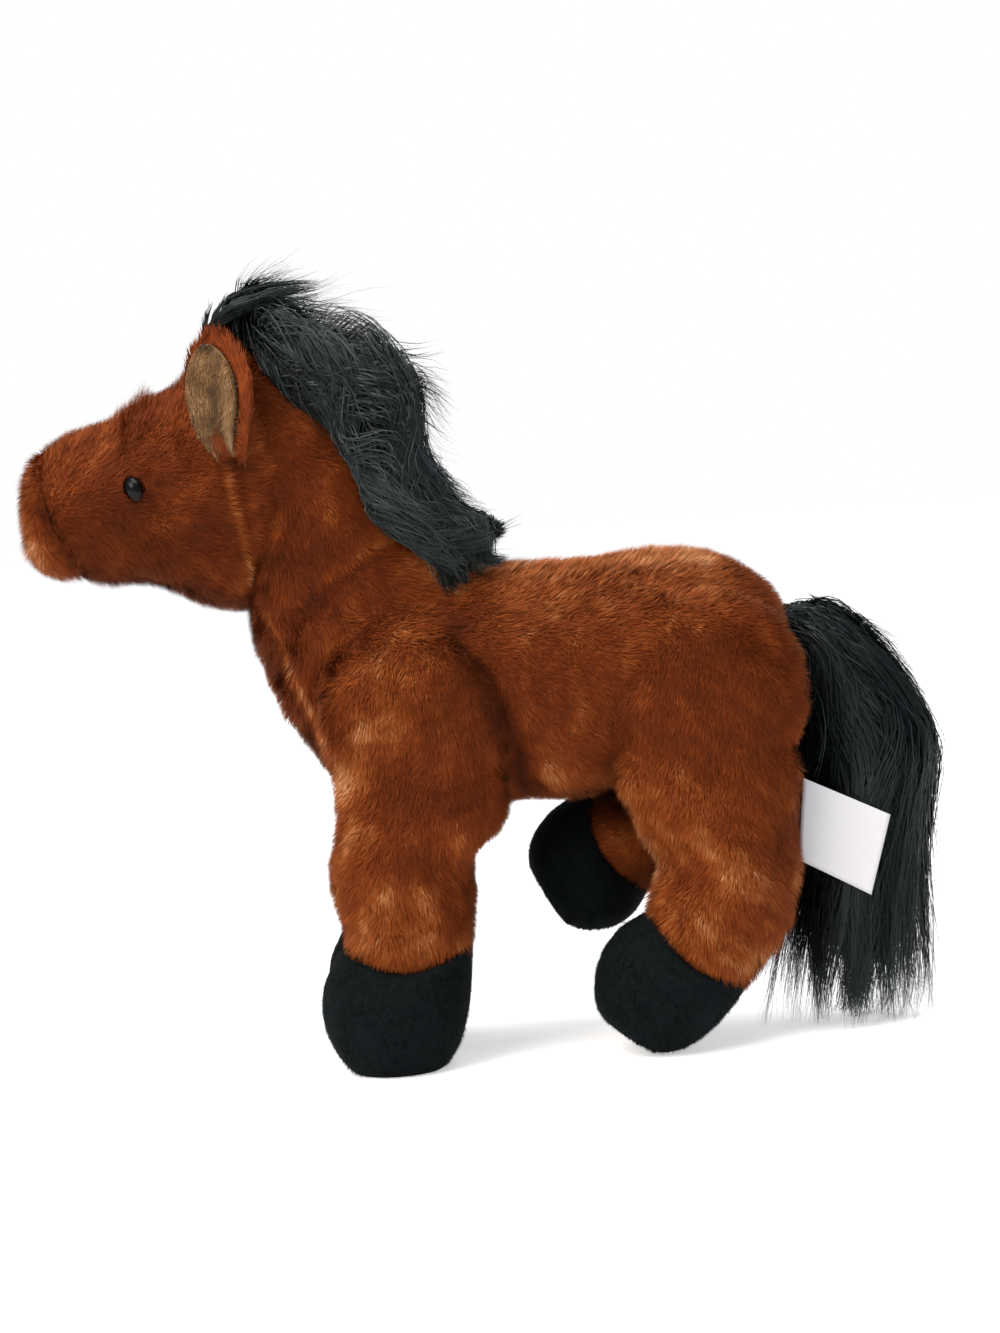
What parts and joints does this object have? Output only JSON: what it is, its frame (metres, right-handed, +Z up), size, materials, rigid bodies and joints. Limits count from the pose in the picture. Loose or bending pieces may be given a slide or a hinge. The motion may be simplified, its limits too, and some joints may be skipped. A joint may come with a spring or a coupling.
{
  "type": "plush toy",
  "caption": "Stuffed plush horse that stands with a hind leg lifted; its legs swing, its head nods, and its ears and tail lift.",
  "frame": {"origin": "on the floor, under the middle of the part's box", "axes": "nose towards -X, horse's left side towards -Y, up is +Z"},
  "size_m": [0.2474, 0.0826, 0.215],
  "materials": {
    "chestnut_plush": "matte",
    "tan_plush": "matte",
    "black_velour": "matte",
    "black_pile": "satin",
    "white_fill": "matte",
    "bag_cloth": "matte",
    "satin_ribbon": "satin",
    "eye_plastic": "gloss",
    "washer_plastic": "matte"
  },
  "bodies": {
    "body": {"body_panel_left": "chestnut_plush", "body_panel_right": "chestnut_plush", "chest_belly_strip": "chestnut_plush", "body_stuffing": "white_fill", "mane": "black_pile"},
    "head": {"head_panel_left": "chestnut_plush", "head_panel_right": "chestnut_plush", "forehead_strip": "chestnut_plush", "head_stuffing": "white_fill", "eye_left": "eye_plastic", "eye_right": "eye_plastic", "eye_washer_left": "washer_plastic", "eye_washer_right": "washer_plastic", "forelock": "black_pile"},
    "ear_left": {"ear_left": "chestnut_plush", "ear_lining_left": "tan_plush"},
    "ear_right": {"ear_right": "chestnut_plush", "ear_lining_right": "tan_plush"},
    "leg_front_left": {"leg_front_left": "chestnut_plush", "leg_stuffing_front_left": "white_fill", "hoof_front_left": "black_velour", "hoof_sole_front_left": "black_velour", "pellet_bag_front_left": "bag_cloth"},
    "leg_front_right": {"leg_front_right": "chestnut_plush", "leg_stuffing_front_right": "white_fill", "hoof_front_right": "black_velour", "hoof_sole_front_right": "black_velour", "pellet_bag_front_right": "bag_cloth"},
    "leg_hind_left": {"leg_hind_left": "chestnut_plush", "leg_stuffing_hind_left": "white_fill", "hoof_hind_left": "black_velour", "hoof_sole_hind_left": "black_velour", "pellet_bag_hind_left": "bag_cloth"},
    "leg_hind_right": {"leg_hind_right": "chestnut_plush", "leg_stuffing_hind_right": "white_fill", "hoof_hind_right": "black_velour", "hoof_sole_hind_right": "black_velour", "pellet_bag_hind_right": "bag_cloth"},
    "tail": {"tail": "black_pile"},
    "label": {"label": "satin_ribbon"}
  },
  "joints": [
    {"name": "head_nod", "type": "hinge", "parent": "body", "child": "head", "pos_m": [-0.055, 0, 0.1633], "axis": [0, 1, 0], "range_deg": [-15, 10]},
    {"name": "ear_left_fold", "type": "hinge", "parent": "head", "child": "ear_left", "pos_m": [-0.064, -0.0285, 0.1677], "axis": [1, 0, 0], "range_deg": [-8, 50]},
    {"name": "ear_right_fold", "type": "hinge", "parent": "head", "child": "ear_right", "pos_m": [-0.064, 0.0285, 0.1677], "axis": [-1, 0, 0], "range_deg": [-8, 50]},
    {"name": "leg_front_left_swing", "type": "hinge", "parent": "body", "child": "leg_front_left", "pos_m": [-0.02, -0.025, 0.095], "axis": [0, 1, 0], "range_deg": [-10, 35]},
    {"name": "leg_front_right_swing", "type": "hinge", "parent": "body", "child": "leg_front_right", "pos_m": [-0.02, 0.025, 0.095], "axis": [0, 1, 0], "range_deg": [-10, 35]},
    {"name": "leg_hind_left_swing", "type": "hinge", "parent": "body", "child": "leg_hind_left", "pos_m": [0.058, -0.025, 0.095], "axis": [0, 1, 0], "range_deg": [-12, 12]},
    {"name": "leg_hind_right_swing", "type": "hinge", "parent": "body", "child": "leg_hind_right", "pos_m": [0.058, 0.025, 0.095], "axis": [0, 1, 0], "range_deg": [-30, 3]},
    {"name": "tail_lift", "type": "hinge", "parent": "body", "child": "tail", "pos_m": [0.081, 0, 0.118], "axis": [0, 1, 0], "range_deg": [-50, 0]},
    {"name": "label_flap", "type": "hinge", "parent": "leg_hind_left", "child": "label", "pos_m": [0.08203, -0.01735, 0.06037], "axis": [-0.1132, 0, -0.9936], "range_deg": [0, 60]}
  ]
}
